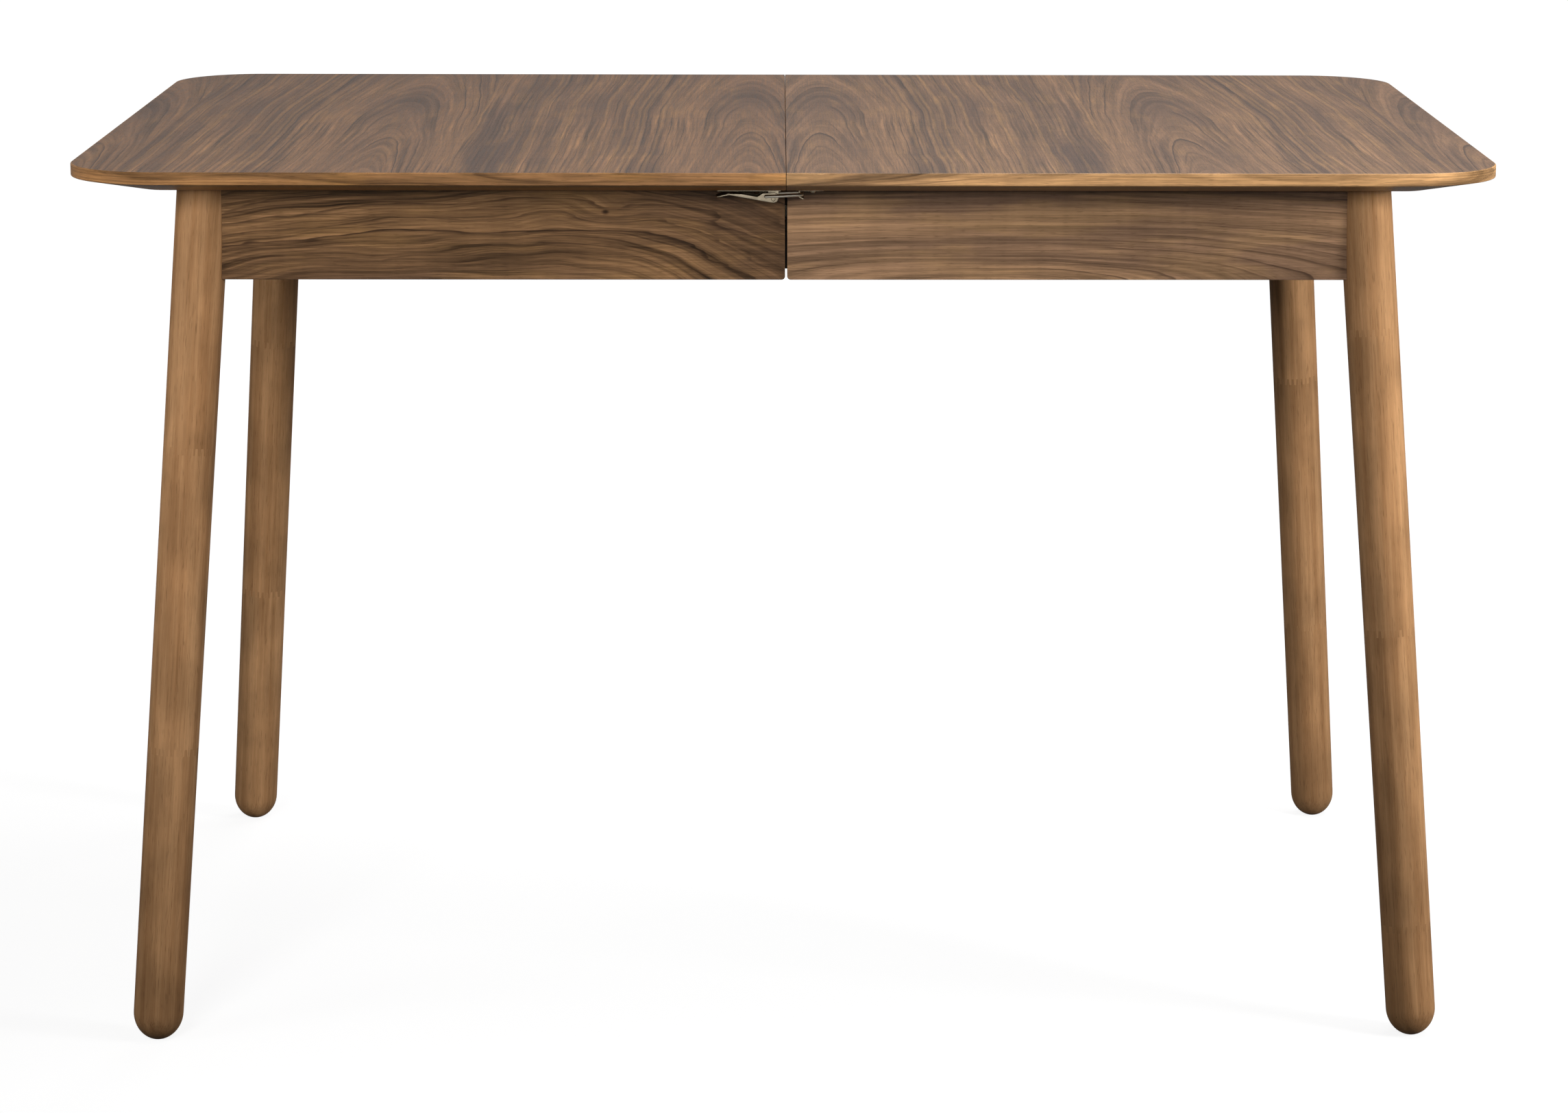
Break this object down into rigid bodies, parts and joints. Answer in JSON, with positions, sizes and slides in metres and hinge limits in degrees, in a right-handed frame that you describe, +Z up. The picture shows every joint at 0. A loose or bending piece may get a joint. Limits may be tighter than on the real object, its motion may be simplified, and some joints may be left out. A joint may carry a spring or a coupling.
{
  "type": "extending dining table",
  "caption": "Rectangular extending dining table on four splayed round legs, with a split top, a folded leaf on a carriage under it and toggle latches at the seam.",
  "frame": {"origin": "on the floor under the middle of the top, with the table closed", "axes": "+X along the table's length, towards the half that slides out; -Y is the front, +Z up"},
  "size_m": [1.2, 0.8, 0.76],
  "materials": {
    "walnut_top": "satin walnut veneer",
    "walnut_apron": "satin walnut veneer",
    "walnut_leg": "satin stained solid wood",
    "beech": "planed, unfinished",
    "black_steel": "black powder coat",
    "bright_steel": "zinc plated",
    "latch_steel": "nickel plated, pressed sheet and wire",
    "aluminium": "mill finish extrusion",
    "brass": "satin",
    "nylon": "moulded nylon"
  },
  "bodies": {
    "left_half": {"top_left": "walnut_top", "leg_front_left": "walnut_leg", "leg_rear_left": "walnut_leg", "apron_front_left": "walnut_apron", "apron_rear_left": "walnut_apron", "apron_end_left": "walnut_apron", "corner_block_front_left": "beech", "corner_block_rear_left": "beech", "leg_bolts_left": "bright_steel", "leg_nuts_left": "bright_steel", "top_brackets_left": "bright_steel", "seam_pins": "brass", "slide_channel_front_left": "black_steel", "slide_channel_rear_left": "black_steel", "rack_front_left": "black_steel", "rack_rear_left": "black_steel", "latch_base_front": "latch_steel", "latch_base_rear": "latch_steel", "latch_rivets": "latch_steel", "latch_screws": "latch_steel"},
    "right_half": {"top_right": "walnut_top", "leg_front_right": "walnut_leg", "leg_rear_right": "walnut_leg", "apron_front_right": "walnut_apron", "apron_rear_right": "walnut_apron", "apron_end_right": "walnut_apron", "corner_block_front_right": "beech", "corner_block_rear_right": "beech", "leg_bolts_right": "bright_steel", "leg_nuts_right": "bright_steel", "top_brackets_right": "bright_steel", "slide_channel_front_right": "black_steel", "slide_channel_rear_right": "black_steel", "rack_front_right": "black_steel", "rack_rear_right": "black_steel", "keeper_front": "latch_steel", "keeper_rear": "latch_steel", "keeper_screws": "latch_steel"},
    "leaf_carriage": {"carriage_rail_front": "aluminium", "carriage_rail_rear": "aluminium", "cross_rail_left": "beech", "cross_rail_right": "beech", "leaf_straps": "black_steel", "leaf_panel_upper": "walnut_top", "leaf_panel_lower": "walnut_top", "leaf_hinges": "brass", "leaf_pins": "brass", "pivot_rod": "bright_steel", "rod_supports": "black_steel", "leaf_brackets": "black_steel", "pinion_brackets": "black_steel", "pinion_pins": "bright_steel"},
    "pinion_front": {"pinion_front": "nylon"},
    "pinion_rear": {"pinion_rear": "nylon"},
    "latch_lever_front": {"latch_lever_front": "latch_steel"},
    "latch_lever_rear": {"latch_lever_rear": "latch_steel"},
    "latch_bail_front": {"latch_bail_front": "latch_steel"},
    "latch_bail_rear": {"latch_bail_rear": "latch_steel"}
  },
  "joints": [
    {"name": "table_slide", "type": "slide", "parent": "left_half", "child": "right_half", "axis": [1, 0, 0], "range_m": [0, 0.41]},
    {"name": "carriage_slide", "type": "slide", "parent": "left_half", "child": "leaf_carriage", "axis": [1, 0, 0], "range_m": [0, 0.205]},
    {"name": "pinion_front_turn", "type": "hinge", "parent": "leaf_carriage", "child": "pinion_front", "pos_m": [0, -0.24, 0.722], "axis": [0, 0, 1], "range_deg": [-654, 0]},
    {"name": "pinion_rear_turn", "type": "hinge", "parent": "leaf_carriage", "child": "pinion_rear", "pos_m": [0, 0.24, 0.722], "axis": [0, 0, 1], "range_deg": [0, 654]},
    {"name": "latch_front_lever", "type": "hinge", "parent": "left_half", "child": "latch_lever_front", "pos_m": [-0.0107, -0.3295, 0.7304], "axis": [0, -1, 0], "range_deg": [0, 100]},
    {"name": "latch_front_bail", "type": "hinge", "parent": "latch_lever_front", "child": "latch_bail_front", "pos_m": [-0.017, -0.3295, 0.7327], "axis": [0, -1, 0], "range_deg": [-100, 0]},
    {"name": "latch_rear_lever", "type": "hinge", "parent": "left_half", "child": "latch_lever_rear", "pos_m": [-0.0107, 0.3295, 0.7304], "axis": [0, -1, 0], "range_deg": [0, 100]},
    {"name": "latch_rear_bail", "type": "hinge", "parent": "latch_lever_rear", "child": "latch_bail_rear", "pos_m": [-0.017, 0.3295, 0.7327], "axis": [0, -1, 0], "range_deg": [-100, 0]}
  ],
  "couplings": [
    {"joint": "carriage_slide", "follows": "table_slide", "ratio": 0.5},
    {"joint": "pinion_front_turn", "follows": "table_slide", "rad_per_m": -27.778},
    {"joint": "pinion_rear_turn", "follows": "table_slide", "rad_per_m": 27.778},
    {"joint": "latch_front_bail", "follows": "latch_front_lever", "ratio": -0.81},
    {"joint": "latch_rear_bail", "follows": "latch_rear_lever", "ratio": -0.81}
  ]
}
